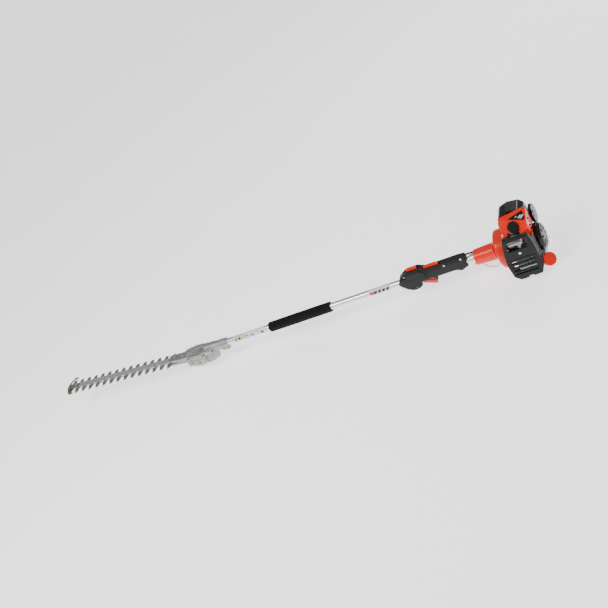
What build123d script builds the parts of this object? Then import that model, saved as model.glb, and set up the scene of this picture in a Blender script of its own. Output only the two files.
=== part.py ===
from build123d import *
import math
import os

# A long-reach hedge trimmer: engine at the +X end, cutter head at the -X end, trigger downwards (-Z).
# Lengths are millimetres. X stations are measured along the drive tube from the gearcase mouth;
# save() then moves the model so that its origin is on the tube axis in the middle of the hanger zone.
HANGER = 550

# Drive tube and what is on it
TUBE_R = 12.7
TUBE_BORE_R = 11.1
TUBE_X = (-53, 1062)
SHAFT_R = 3.5
BUSH_STATIONS = (60, 260, 460, 660, 860, 1010)
FOAM_X = (196, 462)
FOAM_R = 19.5
FIT = 0.05  # radial play of fits that do not turn
RUN = 0.03  # radial play of running fits

# Cutter head: its own frame has u aft along the blades, v sideways, w up from the blade plane
TILT = 4.0
APEX_X = -95.0
HEAD_DROP = 14.66
HEAD = Pos(APEX_X, 0, -HEAD_DROP) * Rot(0, TILT, 0)
PITCH = 35.0
TOOTH_COUNT = 15
FIRST_TOOTH_U = -174.4
NEAR_ROW_SHIFT = -7.0
STROKE = PITCH / 2
REST_SHIFT = 3.5  # each blade rests this far from mid stroke
BLADE_T = 2.4
BLADE_HALF = 14.0
TOOTH_TIP_V = 37.0
TIP_U = -685.6
BAR_T = 3.0
BAR_W = 2.6  # underside of the guide bar
NOSE_BOLTS = (-118.0, -152.0)
BAR_BOLTS = (-262.0, -372.0, -482.0, -592.0, -642.0)
BOLT_R = 3.0
SPACER_R = 4.7

# Gear train: bevel pair, then spur pair to the crank gear
BEVEL_M = 1.65
PINION_Z, BEVEL_Z = 10, 16
SPUR_M = 1.5
SPUR_Z, CRANK_Z = 16, 40
CRANK_U = -SPUR_M * (SPUR_Z + CRANK_Z) / 2
ECCENTRIC = STROKE / 2
ECC_R = 14.5
ROD_L = 40.0
REST_COS = REST_SHIFT / ECCENTRIC
REST_SIN = math.sqrt(1 - REST_COS ** 2)
PIN_REACH = math.sqrt(ROD_L ** 2 - (ECCENTRIC * REST_SIN) ** 2)

# Engine, crankshaft in line with the tube
CYL_X = 1198.0
CRANK_THROW = 14.0
BORE_R = 16.0
NECK_X = (1034, 1108)
FAN_X = (1108, 1156)
FAN_CASE_R = 68.0
FLYWHEEL_R = 48.0
CASE_X = (1158, 1238)
STARTER_X = (1240, 1281)
STARTER_R = 48.0
BASE_Z = -80.0


def save(name, shape):
    """Write one node's STEP file, in the model's frame."""
    export_step(Pos(-HANGER, 0, 0) * shape, f"parts/{name}.step")


def total(shapes):
    """Fuse a list of shapes into one."""
    shapes = list(shapes)
    out = shapes[0]
    for shape in shapes[1:]:
        out = out + shape
    return out


def group(*shapes):
    """Separate solids kept in one node."""
    return Compound(children=[s for shape in shapes for s in shape.solids()])


def outline(points, radius=0):
    """A closed flat outline with its corners rounded."""
    face = Polygon(*points, align=None)
    return fillet(face.vertices(), radius) if radius else face


def raised(face, height):
    """A flat face on the XY plane given height, whichever way round it was drawn."""
    return extrude(face, height, dir=(0, 0, 1))


def prism_x(points, x0, x1, radius=0):
    """Points are (y, z)."""
    return Pos(x0, 0, 0) * (Plane.YZ * raised(outline(points, radius), x1 - x0))


def prism_y(points, y0, y1, radius=0):
    """Points are (x, z)."""
    return Pos(0, y1, 0) * (Rot(90, 0, 0) * raised(outline(points, radius), y1 - y0))


def prism_z(points, z0, z1, radius=0):
    """Points are (x, y)."""
    return Pos(0, 0, z0) * raised(outline(points, radius), z1 - z0)


def block(x0, x1, y0, y1, z0, z1):
    return Pos((x0 + x1) / 2, (y0 + y1) / 2, (z0 + z1) / 2) * Box(x1 - x0, y1 - y0, z1 - z0)


def disc_x(r, x0, x1, y=0, z=0):
    return Pos((x0 + x1) / 2, y, z) * Rot(0, 90, 0) * Cylinder(r, x1 - x0)


def disc_y(r, y0, y1, x=0, z=0):
    return Pos(x, (y0 + y1) / 2, z) * Rot(90, 0, 0) * Cylinder(r, y1 - y0)


def disc_z(r, z0, z1, x=0, y=0):
    return Pos(x, y, (z0 + z1) / 2) * Cylinder(r, z1 - z0)


def ring_x(outer, inner, x0, x1, y=0, z=0):
    return disc_x(outer, x0, x1, y, z) - disc_x(inner, x0 - 1, x1 + 1, y, z)


def ring_z(outer, inner, z0, z1, x=0, y=0):
    return disc_z(outer, z0, z1, x, y) - disc_z(inner, z0 - 1, z1 + 1, x, y)


def turned_x(points):
    """A body turned about the tube axis; points are (x, radius)."""
    return revolve(make_face(Polyline(*points, close=True)), Axis.X)


def capsule_z(u0, u1, r, z0, z1, v=0):
    """A flat bar with round ends along u."""
    slot = SlotCenterToCenter(abs(u1 - u0), 2 * r)
    return Pos((u0 + u1) / 2, v, z0) * raised(slot, z1 - z0)


def hex_z(r, z0, z1, x=0, y=0):
    return Pos(x, y, z0) * raised(RegularPolygon(r, 6), z1 - z0)


def ball_bearing(outer, inner, width, balls):
    """Two races and the balls between them, on the Z axis from 0 to width."""
    mid = (outer + inner) / 2
    ball_r = (outer - inner) * 0.26
    groove = Pos(0, 0, width / 2) * Torus(mid, ball_r + 0.05)
    race_out = ring_z(outer, mid + ball_r * 0.55, 0, width) - groove
    race_in = ring_z(mid - ball_r * 0.55, inner, 0, width) - groove
    seats = PolarLocations(mid, balls)
    spheres = [place * (Pos(0, 0, width / 2) * Sphere(ball_r)) for place in seats.locations]
    return group(race_out, race_in, *spheres)


# ---------------------------------------------------------------- gears

def toothed_outline(teeth, root_r, tip_r, pitch_r, phase):
    """A gear outline with straight flanks; phase 0 puts a tooth on the first axis, 0.5 a gap."""
    step = 2 * math.pi / teeth
    play = 0.42
    widths = ((root_r, 0.60), (pitch_r, play), (tip_r, 0.22))
    points = []
    for i in range(teeth):
        middle = (i + phase) * step
        flank = [(r, w * step / 2) for r, w in widths]
        for r, half in flank:
            points.append((r * math.cos(middle - half), r * math.sin(middle - half)))
        for r, half in reversed(flank):
            points.append((r * math.cos(middle + half), r * math.sin(middle + half)))
    return Polygon(*points, align=None)


def spur_teeth(teeth, module, z0, z1, phase):
    pitch_r = module * teeth / 2
    face = toothed_outline(teeth, pitch_r - 1.3 * module, pitch_r + 0.8 * module, pitch_r, phase)
    return Pos(0, 0, z0) * raised(face, z1 - z0)


def cone_angles():
    """Pitch cone angles of pinion and gear; the shafts meet at 90 degrees plus the tilt."""
    shaft_angle = math.radians(90 + TILT)
    ratio = BEVEL_Z / PINION_Z
    pinion = math.atan2(math.sin(shaft_angle), ratio + math.cos(shaft_angle))
    return pinion, shaft_angle - pinion


CONE_PINION, CONE_GEAR = cone_angles()
CONE_DISTANCE = BEVEL_M * PINION_Z / 2 / math.sin(CONE_PINION)
BEVEL_FACE = 6.0


def bevel_teeth(teeth, cone, phase, outer_r):
    """Straight bevel teeth along +Z from an apex at the origin."""
    depth = CONE_DISTANCE * math.cos(cone)
    add = math.atan(0.6 * BEVEL_M / CONE_DISTANCE)
    ded = math.atan(1.3 * BEVEL_M / CONE_DISTANCE)
    scale = (CONE_DISTANCE - BEVEL_FACE) / CONE_DISTANCE
    radii = [depth * math.tan(cone + turn) for turn in (-ded, add, 0)]
    big = toothed_outline(teeth, radii[0], radii[1], radii[2], phase)
    small = toothed_outline(teeth, *[r * scale for r in radii], phase)
    body = loft([Pos(0, 0, depth) * big, Pos(0, 0, depth * scale) * small], ruled=True)
    return body & disc_z(outer_r, 0, depth + 1)


# ---------------------------------------------------------------- cutter head

def tooth_centres(sign):
    shift = 0 if sign > 0 else NEAR_ROW_SHIFT
    return [FIRST_TOOTH_U + shift - PITCH * i for i in range(TOOTH_COUNT)]


def blade(rest_shift, w0, pin_up):
    """One reciprocating blade with its drive stud; the slots clear the bolts' spacers."""
    stud_u = CRANK_U - PIN_REACH + rest_shift
    tail = capsule_z(stud_u, -190, 9, w0, w0 + BLADE_T)
    strip = block(-680 + rest_shift, -125, -BLADE_HALF, BLADE_HALF, w0, w0 + BLADE_T)
    neck = prism_z([(-126, -13), (-104, -9), (-104, 9), (-126, 13)], w0, w0 + BLADE_T)
    teeth = []
    for sign in (1, -1):
        for u in tooth_centres(sign):
            c = u + rest_shift
            corners = [(c - 10, 10 * sign), (c - 4.5, TOOTH_TIP_V * sign),
                       (c + 4.5, TOOTH_TIP_V * sign), (c + 10, 10 * sign)]
            teeth.append(prism_z(corners if sign < 0 else corners[::-1], w0, w0 + BLADE_T))
    body = total([tail, neck, strip] + teeth)
    for u in NOSE_BOLTS + BAR_BOLTS:
        half = (STROKE + 0.8) / 2
        body -= capsule_z(u + rest_shift - half, u + rest_shift + half, SPACER_R + 0.3, w0 - 1, w0 + 4)
    stud = disc_z(4, w0, w0 + BLADE_T + 0.25, stud_u) if pin_up else disc_z(4, w0 - 0.25, w0 + BLADE_T, stud_u)
    return body + stud


def guide_bar():
    bar = capsule_z(-112, -654, 14, BAR_W, BAR_W + BAR_T)
    for u in NOSE_BOLTS + BAR_BOLTS:
        bar -= disc_z(BOLT_R + FIT, BAR_W - 1, BAR_W + BAR_T + 1, u)
    return bar


def bolt_ends(u):
    """Where a bolt's head seat and nut seat are."""
    if u in NOSE_BOLTS:
        return -12.0, 13.0
    top = BAR_W + BAR_T + (3.0 if u == BAR_BOLTS[-1] else 0)
    return -4.1, top


def bar_bolts():
    """Bolts with their nuts and the wide washers under the lower blade."""
    pieces = []
    for u in NOSE_BOLTS + BAR_BOLTS:
        low, high = bolt_ends(u)
        stem = disc_z(BOLT_R, low, high + 6, u)
        pieces.append(stem + hex_z(5.8, low - 4, low, u))
        pieces.append(hex_z(5.8, high, high + 5, u) - disc_z(BOLT_R, high - 1, high + 6, u))
        if u not in NOSE_BOLTS:
            pieces.append(ring_z(9, BOLT_R + FIT, low, -BAR_W, u))
    return group(*pieces)


def bar_spacers():
    return group(*[ring_z(SPACER_R, BOLT_R + FIT, -BAR_W, BAR_W, u) for u in NOSE_BOLTS + BAR_BOLTS])


def tip_guard():
    """A crescent on the end of the guide bar, with its horns turned back."""
    w0 = BAR_W + BAR_T
    radius = 60.0
    centre = TIP_U + radius
    horn = 33.2
    arc = ring_z(radius, radius - 9, w0, w0 + BAR_T, centre)
    arc = arc & block(TIP_U - 1, centre - horn, -50, 50, w0, w0 + BAR_T)
    horns = [capsule_z(centre - 38, centre - 26, 4.5, w0, w0 + BAR_T, v) for v in (-43, 43)]
    tongue = block(TIP_U + 5, -632, -11, 11, w0, w0 + BAR_T)
    body = total([arc, tongue] + horns)
    return body - disc_z(BOLT_R + FIT, w0 - 1, w0 + 4, BAR_BOLTS[-1])


def case_plan(r_gear, r_crank, r_tail):
    """The gearcase seen from above: a taut outline round three circles."""
    circles = [(8, r_gear), (CRANK_U, r_crank), (-84, r_tail)]
    edges = [(Pos(u, 0) * Circle(r)).edge() for u, r in circles]
    return make_hull(edges)


def case_bosses(low, high):
    return total([disc_z(6.5, low, high, u, v * s) for u, v in SCREW_SEATS for s in (-1, 1)])


SCREW_SEATS = ((26, 21), (-14, 34), (-82, 31))


def rod_sweep(side, low):
    """The room one rod sweeps: its small end circles round a centre beside the blades' line."""
    u = CRANK_U - PIN_REACH
    v = side * ECCENTRIC * REST_SIN
    room = disc_z(7.5 + ECCENTRIC + 0.5, low, low + 4.3, u, v)
    return room + block(u, CRANK_U, v - 17.5, v + 17.5, low, low + 4.3)


def case_rooms():
    """The hollow inside both halves of the gearcase, and the bores for the bearings."""
    rooms = [
        disc_z(33.0, -18.9, -9.7, CRANK_U),
        disc_z(14.2, -18.9, -9.7),
        disc_z(27.8, -9.7, 7.4, CRANK_U),
        disc_z(15.4, -2.7, 12.0),
        disc_z(15 + FIT, -26.5, -18.8, CRANK_U),
        disc_z(11 + FIT, 7.3, 15.5, CRANK_U),
        disc_z(11 + FIT, -26.5, -18.8),
        disc_z(8.5 + FIT, -9.8, -2.6),
        rod_sweep(-1, 2.8),
        rod_sweep(1, -7.1),
        block(-100, CRANK_U, -18.5, 18.5, -2.85, 2.85),
        block(-181, -99, -15.2, 15.2, -2.75, BAR_W),
        block(-181, -98, -14.2, 14.2, BAR_W - 0.01, BAR_W + BAR_T + FIT),
        block(-190, -145, -60, 60, -2.75, 2.75),
    ]
    rooms += [disc_z(BOLT_R + 0.2, -40, 40, u) for u in NOSE_BOLTS]
    rooms += [disc_z(7, -40, -12, u) + disc_z(7, 13, 40, u) for u in NOSE_BOLTS]
    rooms += [disc_z(2.7, -40, 40, u, v * s) for u, v in SCREW_SEATS for s in (-1, 1)]
    rooms += [disc_z(4.9, -40, -20, u, v * s) for u, v in SCREW_SEATS for s in (-1, 1)]
    return total(rooms)


def pinion_rooms():
    """The bores along the tube axis: pinion room, bearings, tube."""
    return total([
        disc_x(11.2, APEX_X - 3, APEX_X + 15.5),
        disc_x(13 + FIT, APEX_X + 15, APEX_X + 33),
        disc_x(9, APEX_X + 32, TUBE_X[0] + 1),
        disc_x(TUBE_R + FIT, TUBE_X[0], 5),
    ])


def lower_shell():
    deep = Pos(0, 0, -31) * raised(case_plan(25, 37, 28.5), 31)
    nose = prism_z([(-60, -22), (-60, 22), (-140, 20), (-181, 17), (-181, -17), (-140, -20)], -12, 0, 2)
    return deep + nose + (case_bosses(-20, 0))


def gearcase_lower():
    return HEAD * (lower_shell() - case_rooms()) - pinion_rooms()


def gearcase_upper():
    """Upper casting: gear cover, pinion housing and the split clamp that holds the tube."""
    cover = raised(case_plan(25, 37, 28.5), 18)
    nose = prism_z([(-60, -22), (-60, 22), (-140, 20), (-181, 17), (-181, -17), (-140, -20)], 0, 13, 2)
    body = HEAD * (cover + nose + case_bosses(0, 14))
    profile = [(-112, 0), (-112, 12), (-100, 20), (-60, 20.5), (-44, 18.5), (0, 18.5), (0, 0)]
    housing = turned_x(profile)
    ears = block(-38, -3, -8, 8, -29, -12)
    body = body + housing + ears - HEAD * lower_shell() - pinion_rooms() - HEAD * case_rooms()
    slit = block(-46, 1, -1, 1, -32, -11)
    for x in CLAMP_STATIONS:
        body -= disc_y(2.6, -20, 20, x, -22.5)
    return body - slit - disc_z(2.6, 10, 30, -24)


CLAMP_STATIONS = (-12, -30)


def gearcase_screws():
    """Case screws from below, the two clamp screws and the locating screw on top."""
    pieces = []
    for u, v in SCREW_SEATS:
        for side in (-1, 1):
            screw = disc_z(2.5, -20, 12, u, v * side) + disc_z(4.5, -24.5, -20, u, v * side)
            pieces.append(HEAD * screw)
    for x in CLAMP_STATIONS:
        pieces.append(disc_y(2.5, -8, 8, x, -22.5) + disc_y(4.5, -12.5, -8, x, -22.5))
    pieces.append(disc_z(2.5, TUBE_R + 0.3, 19, -24) + disc_z(4.5, 19, 22.5, -24))
    return group(*pieces)


def grease_nipple():
    stem = disc_y(2.5, -44, -37.05, CRANK_U, -14) + disc_y(4.0, -41, -37.5, CRANK_U, -14)
    return HEAD * stem


def bevel_pinion():
    """Pinion and its shaft in one piece, with a socket for the drive shaft."""
    teeth = Pos(APEX_X, 0, 0) * (Rot(0, 90, 0) * bevel_teeth(PINION_Z, CONE_PINION, 0, 9.4))
    back = APEX_X + CONE_DISTANCE * math.cos(CONE_PINION)
    shaft = disc_x(6 - RUN, back, -54.5)
    return teeth + shaft - disc_x(SHAFT_R + FIT, -66, -53)


def bevel_gear():
    """Bevel gear, its shaft and the spur pinion, cut from one blank."""
    apex_w = HEAD_DROP / math.cos(math.radians(TILT))
    teeth = Pos(0, 0, apex_w) * (Rot(180, 0, 0) * bevel_teeth(BEVEL_Z, CONE_GEAR, 0.5, 14.2))
    back = apex_w - CONE_DISTANCE * math.cos(CONE_GEAR)
    hub = disc_z(8.5, 1.5, back) + disc_z(5 - RUN, -26.5, 2)
    return HEAD * (teeth + hub + spur_teeth(SPUR_Z, SPUR_M, -18.2, -10.2, 0))


def crank_gear():
    """Spur wheel with the two opposed eccentrics that drive the blades."""
    wheel = spur_teeth(CRANK_Z, SPUR_M, -18.0, -10.4, 0.5)
    shaft = disc_z(7 - RUN, -26.5, -18) + disc_z(12, -10.5, -6.9) + disc_z(5 - RUN, -7, 15.5)
    reach = (ECCENTRIC * REST_COS, ECCENTRIC * REST_SIN)
    lower = disc_z(ECC_R - RUN, -6.9, -2.9, -reach[0], -reach[1])
    upper = disc_z(ECC_R - RUN, 2.9, 6.9, *reach)
    return HEAD * (Pos(CRANK_U, 0, 0) * (wheel + shaft + lower + upper))


def blade_rod(sign, w0):
    """A rod from one eccentric to its blade's stud; sign +1 is the upper blade's."""
    big = (CRANK_U + sign * ECCENTRIC * REST_COS, sign * ECCENTRIC * REST_SIN)
    small = (CRANK_U - PIN_REACH + sign * REST_SHIFT, 0)
    angle = math.degrees(math.atan2(small[1] - big[1], small[0] - big[0]))
    rod = disc_z(18, w0, w0 + 3.6) + disc_z(7.5, w0, w0 + 3.6, ROD_L)
    rod += block(10, ROD_L, -5, 5, w0, w0 + 3.6)
    rod -= disc_z(ECC_R, w0 - 1, w0 + 5)
    rod -= disc_z(4.1, w0 - 1, w0 + 5, ROD_L)
    return HEAD * (Pos(*big, 0) * (Rot(0, 0, angle) * rod))


def all_bearings():
    """Every ball bearing that sits in a casing, and the plain bush over the spur pinion."""
    on_x = [(APEX_X + 15.2, 13, 6, 8, 9), (APEX_X + 24.8, 13, 6, 8, 9),
            (1066, 16, 8, 9, 9), (1168, 14, 6, 9, 8), (1219, 14, 6, 9, 8)]
    on_head = [(CRANK_U, -26.5, 15, 7, 7, 9), (CRANK_U, 8.5, 11, 5, 7, 8), (0, -26.5, 11, 5, 7, 8)]
    pieces = [Pos(x, 0, 0) * (Rot(0, 90, 0) * ball_bearing(o, i, w, n)) for x, o, i, w, n in on_x]
    pieces += [HEAD * (Pos(u, 0, w0) * ball_bearing(o, i, w, n)) for u, w0, o, i, w, n in on_head]
    pieces.append(HEAD * ring_z(8.5, 5, -9.6, -3))
    return group(*pieces)


# ---------------------------------------------------------------- tube and drive shaft

def shaft_bush(x):
    """Plastic bush with three webs' worth of relief, riding on the drive shaft."""
    bush = ring_x(TUBE_BORE_R - FIT, SHAFT_R + RUN, x - 10, x + 10)
    return bush - ring_x(TUBE_BORE_R + 1, 8.5, x - 5, x + 5)


def foam_grip():
    grip = ring_x(FOAM_R, TUBE_R + FIT, *FOAM_X)
    rims = grip.edges().filter_by(GeomType.CIRCLE).filter_by(lambda e: e.radius > FOAM_R - 0.1)
    return fillet(rims, 3)


# ---------------------------------------------------------------- control handle

POD = [(742, 2), (752, 20), (774, 34), (790, 41), (832, 40), (846, 31), (858, 30), (906, 28),
       (975, 29), (1004, 26), (1002, -14), (974, -25), (955, -16), (885, -15), (881, -27),
       (875, -27), (868, -14), (826, -14), (821, -29), (806, -38), (782, -38), (764, -27), (748, -8)]
TRIGGER_PIVOT = (829.0, -19.0)
LOCKOUT_PIVOT = (899.0, 24.5)
HANDLE_SCREWS = ((776, 27), (988, 23.6), (798, -29), (925, 20.5))


def stepped(layers):
    """The handle's side outline in layers, each inset a little and reaching further sideways."""
    face = Polygon(*POD, align=None)
    shapes = []
    for inset, half in layers:
        layer = offset(face, -inset, kind=Kind.INTERSECTION) if inset else face
        shapes.append(Pos(0, half, 0) * (Rot(90, 0, 0) * raised(layer, 2 * half)))
    return total(shapes)


def handle_body():
    front = stepped(((0, 17), (3, 21), (7, 23))) & block(740, 850, -24, 24, -60, 60)
    rear = stepped(((0, 14), (2.5, 17), (6, 18.5))) & block(850, 1006, -24, 24, -60, 60)
    rooms = [
        disc_x(TUBE_R + FIT, 730, 1010),
        block(818, 878, -8, 8, -60, -11),
        block(846, 912, -6.2, 6.2, 12, 60),
        block(787, 842, -6.8, 6.8, 33, 60),
        block(962, 994, 5.2, 13.8, 12.6, 21.0),
        block(993, 1010, 5.2, 14.2, 12.6, 22.0),
    ]
    rooms += [block(x0, x1, y0, y0 + 5, -8, 16) for x0, x1 in ((782, 814), (925, 958)) for y0 in (-18.2, 13.2)]
    return front + rear - total(rooms)


def handle_screw_holes(r):
    return total([disc_y(r, -30, 30, x, z) for x, z in HANDLE_SCREWS])


def handle_half(side):
    """Side -1 is the left half, which carries the screw heads."""
    body = handle_body() - handle_screw_holes(2.2)
    body -= disc_y(2.0, -12, 12, *TRIGGER_PIVOT) + disc_y(2.0, -12, 12, *LOCKOUT_PIVOT)
    keep = block(735, 1010, 0.02, 40, -70, 70) if side > 0 else block(735, 1010, -40, -0.02, -70, 70)
    if side < 0:
        body -= total([disc_y(4.6, -30, -15.5, x, z) for x, z in HANDLE_SCREWS])
    return body & keep


def handle_screws():
    pieces = [disc_y(2.1, -15.5, 14, x, z) + disc_y(4.3, -18.0, -15.5, x, z) for x, z in HANDLE_SCREWS]
    for x, z in (TRIGGER_PIVOT, LOCKOUT_PIVOT):
        pieces.append(disc_y(1.95, -11.9, 11.9, x, z))
    return group(*pieces)


def throttle_trigger():
    outline_points = [(825, -16), (824, -27), (842, -34), (866, -46), (872, -44), (870, -33), (848, -24), (836, -16)]
    body = prism_y(outline_points, -7, 7, 1.5)
    return body - disc_y(2.0, -10, 10, *TRIGGER_PIVOT)


def trigger_lockout():
    body = prism_y([(850, 23), (850, 33), (866, 36), (895, 35.5), (905, 31), (905, 21), (880, 20.5)], -5.6, 5.6, 1.5)
    return body - disc_y(2.0, -10, 10, *LOCKOUT_PIVOT)


def stop_switch():
    base = block(789, 827, -6.2, 6.2, 34, 41)
    knob = prism_y([(790, 40.8), (791, 45), (798, 48), (806, 46), (820, 47.5), (826, 44), (827, 40.8)], -6.2, 6.2)
    return base + knob


def control_sleeve():
    """Sleeve with the throttle cable and the switch wires, from the handle into the neck."""
    return cord([(966, 9, 16.4), (1012, 10, 18.4), (1052, 9, 16.4)], [150], 3.3)


# ---------------------------------------------------------------- fan case, clutch, flywheel

def neck_clamp():
    collar = ring_x(16, TUBE_R + FIT, 1016, 1031)
    ear = block(1016, 1031, -6, 6, -30, -15)
    collar = collar + ear - block(1015, 1032, -1, 1, -32, -11) - disc_y(2.1, -10, 10, 1023.5, -23.5)
    bolt = disc_y(2.0, -6, 8, 1023.5, -23.5) + disc_y(3.8, -10, -6, 1023.5, -23.5)
    return group(collar, bolt)


def damper_sleeve():
    """Rubber between tube and neck, with a notch for the control sleeve."""
    sleeve = ring_x(26, TUBE_R + FIT, 1038, 1060)
    return sleeve - block(1037, 1061, 3, 16, 11, 30)


def fan_case():
    """Neck, cone and round shroud in one moulding, with the top opening for the engine cover."""
    outer = turned_x([(1034, 0), (1034, 28), (1104, 31), (1110, 36), (1124, 66), (1130, 68),
                      (1156, 68), (1156, 0)])
    inner = turned_x([(1080, 0), (1080, 28.4), (1104, 28.6), (1108.4, 33), (1124.8, 62), (1131, 65),
                      (1157, 65), (1157, 0)])
    body = outer - inner - disc_x(26 + FIT, 1033, 1061) - disc_x(16 + FIT, 1060, 1075)
    body -= disc_x(11, 1070, 1085)
    return body - total([block(1128, 1157, y, y + 5, -70, -55) for y in (-22, -11, 0, 11)])


def clutch_drum():
    cup = ring_x(27.5, 25.3, 1086, 1108) + ring_x(27.5, SHAFT_R, 1083, 1086)
    hub = ring_x(8 - RUN, SHAFT_R + FIT, 1062, 1084)
    return cup + hub - disc_x(SHAFT_R + FIT, 1050, 1090)


def clutch_shoes():
    """Boss on the crankshaft, two shoes and the spring that draws them in."""
    boss = ring_x(9, 6 + FIT, 1090, 1106) + block(1090, 1106, -3, 3, -14, 14) - disc_x(6 + FIT, 1080, 1110)
    shoe = ring_x(24.5, 10, 1091, 1105) & block(1090, 1106, 3.4, 30, -30, 30)
    other = ring_x(24.5, 10, 1091, 1105) & block(1090, 1106, -30, -3.4, -30, 30)
    return group(boss, shoe, other)


def flywheel():
    disc = disc_x(FLYWHEEL_R, 1130, 1136) + disc_x(15, 1116, 1150)
    vane = prism_z([(1118, 0), (1131, 0), (1131, 1.8), (1118, 1.8)], 26, FLYWHEEL_R)
    vanes = [Rot(22.5 * i, 0, 0) * vane for i in range(16)]
    magnet = block(1122, 1136, -10, 10, 38, FLYWHEEL_R - 1.5)
    return total([disc, magnet] + vanes) - disc_x(6 + FIT, 1110, 1152)


def ignition_coil():
    core = block(1128, 1138, -16, 16, 45, 62) & disc_x(63.5, 1120, 1140)
    return core - disc_x(FLYWHEEL_R + 0.6, 1120, 1140)


# ---------------------------------------------------------------- engine

CASE_SCREWS = ((-28, -28), (28, -28), (-28, 24), (28, 24))


def crankcase():
    """Front and rear castings, split at the cylinder's plane."""
    shape = prism_x([(-34, -34), (34, -34), (34, 30), (24, 36), (-24, 36), (-34, 30)], *CASE_X, 6)
    shape -= total([block(x0, x0 + 22, -40, 40, -40, -29) + block(x0, x0 + 22, -40, 40, 29, 32)
                    for x0 in (1172.5, 1201.5)])
    rooms = [disc_x(23.2, 1182, 1214), disc_x(14 + FIT, 1167, 1182.5), disc_x(14 + FIT, 1213.5, 1229),
             disc_x(8, 1150, 1245), disc_z(17.2, 0, 40, CYL_X)]
    rooms += [disc_x(2.6, 1150, 1172.2, y, z) for y, z in CASE_SCREWS]
    body = shape - total(rooms)
    return group(body & block(1150, CYL_X, -40, 40, -40, 40), body & block(CYL_X, 1245, -40, 40, -40, 40))


def crankshaft():
    """Two halves; the crankpin is open in the middle, where the connecting rod's big end is."""
    def web(x0, x1):
        plate = disc_x(20.5, x0, x1) - block(x0 - 1, x1 + 1, 9, 30, -2, 30) - block(x0 - 1, x1 + 1, -30, -9, -2, 30)
        return plate
    front = disc_x(6 - RUN, 1090, 1186) + web(1185, 1192) + disc_x(5, 1191, 1194, 0, CRANK_THROW)
    rear = disc_x(6 - RUN, 1210, 1246) + web(1204, 1211) + disc_x(5, 1202, 1205, 0, CRANK_THROW)
    return group(front, rear)


def connecting_rod():
    x0, x1 = 1194.4, 1201.6
    top = CRANK_THROW + 46
    rod = disc_x(8.5, x0, x1, 0, CRANK_THROW) + disc_x(6.5, x0, x1, 0, top)
    rod += block(x0 + 1.5, x1 - 1.5, -4, 4, CRANK_THROW + 4, top - 2)
    return rod - disc_x(5.1, x0 - 1, x1 + 1, 0, CRANK_THROW) - disc_x(4.05, x0 - 1, x1 + 1, 0, top)


def piston():
    """Piston with its pin; the crown is level with the squish gap at top dead centre."""
    top = CRANK_THROW + 46
    skirt = disc_z(BORE_R - 0.08, top - 11, top + 14, CYL_X) - disc_z(BORE_R - 3, top - 12, top + 9, CYL_X)
    for z in (top + 8, top + 4.5):
        skirt -= ring_z(BORE_R + 1, BORE_R - 1.2, z, z + 1.5, CYL_X)
    bosses = disc_x(6.5, CYL_X - BORE_R + 1.5, CYL_X - 4.5, 0, top)
    bosses += disc_x(6.5, CYL_X + 4.5, CYL_X + BORE_R - 1.5, 0, top)
    bosses = bosses & disc_z(BORE_R - 0.5, 0, 120, CYL_X)
    skirt = skirt + bosses - disc_x(4 + FIT, CYL_X - 20, CYL_X + 20, 0, top)
    return group(skirt, disc_x(4, CYL_X - 13.5, CYL_X + 13.5, 0, top))


PLUG_AXIS = Pos(1205, -20, 79) * Rot(0, 0, 15) * Rot(52, 0, 0)
FRONT_POINT = (1258, -40, 100.4)
FRONT_NORMAL = (-0.361, -0.709, 0.606)
ROOF_POINT = (1256, 20, 117)
ROOF_NORMAL = (-0.115, -0.267, 0.957)


def outside(point, normal, lift):
    """Everything beyond a plane, the plane moved out by lift."""
    plane = Plane(origin=point, z_dir=normal)
    return plane * (Pos(0, 0, 100 + lift) * Box(600, 600, 200))


def cylinder():
    """Finned barrel and head, with ports for exhaust (-Y) and intake (+Y) and the plug's seat."""
    barrel = disc_z(21.5, 36, 88, CYL_X) + disc_z(17, 26, 37, CYL_X) + block(1172, 1224, -26, 26, 36, 41)
    fins = [prism_z([(1164, -30), (1232, -30), (1232, 30), (1164, 30)], z, z + 1.8, 8) for z in range(46, 94, 6)]
    ports = disc_y(11, -38, -18, CYL_X, 54) + disc_y(10, 18, 36, CYL_X, 50)
    seat = PLUG_AXIS * disc_z(9.5, -14, 3)
    body = total([barrel, seat] + fins) - outside(FRONT_POINT, FRONT_NORMAL, -6.5) + ports
    body -= disc_z(BORE_R, 20, 76, CYL_X)
    body -= disc_y(7, -40, -10, CYL_X, 54) + disc_y(6, 10, 40, CYL_X, 50)
    return body - PLUG_AXIS * (disc_z(5.05, -16, 4) + disc_z(16, 3, 40))


def spark_plug():
    body = disc_z(5, -6, 3) + hex_z(7.5, 3, 11) + disc_z(4.6, 11, 28)
    return PLUG_AXIS * body


def plug_cap():
    """Round rubber cap with the lead's tail pointing down."""
    cap = PLUG_AXIS * (disc_z(16.5, 17, 30) + disc_z(10, 12, 18) - disc_z(4.7, 10, 28.2))
    tail = prism_z([(-10, -6), (10, -6), (5.5, -23), (-5.5, -23)], 18, 29, 2)
    return cap + PLUG_AXIS * tail - cord(LEAD_POINTS, LEAD_RADII, LEAD_R + FIT)


LEAD_R = 2.6
LEAD_POINTS = [(1212.3, -48, 78.6), (1208, -46.5, 73), (1186, -44.5, 70.5), (1166, -37, 58),
               (1153.5, -28, 52), (1140.2, -9, 56.5)]
LEAD_RADII = [5, 14, 14, 14]


def cord(points, radii, r):
    """A round cord along straight runs joined by tangent arcs."""
    route = FilletPolyline(*points, radius=radii)
    return sweep(Plane(route @ 0, z_dir=route % 0) * Circle(r), path=route)


def spark_lead():
    """Lead from the cap down along the cylinder to the coil, held by both."""
    return cord(LEAD_POINTS, LEAD_RADII, LEAD_R)


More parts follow.
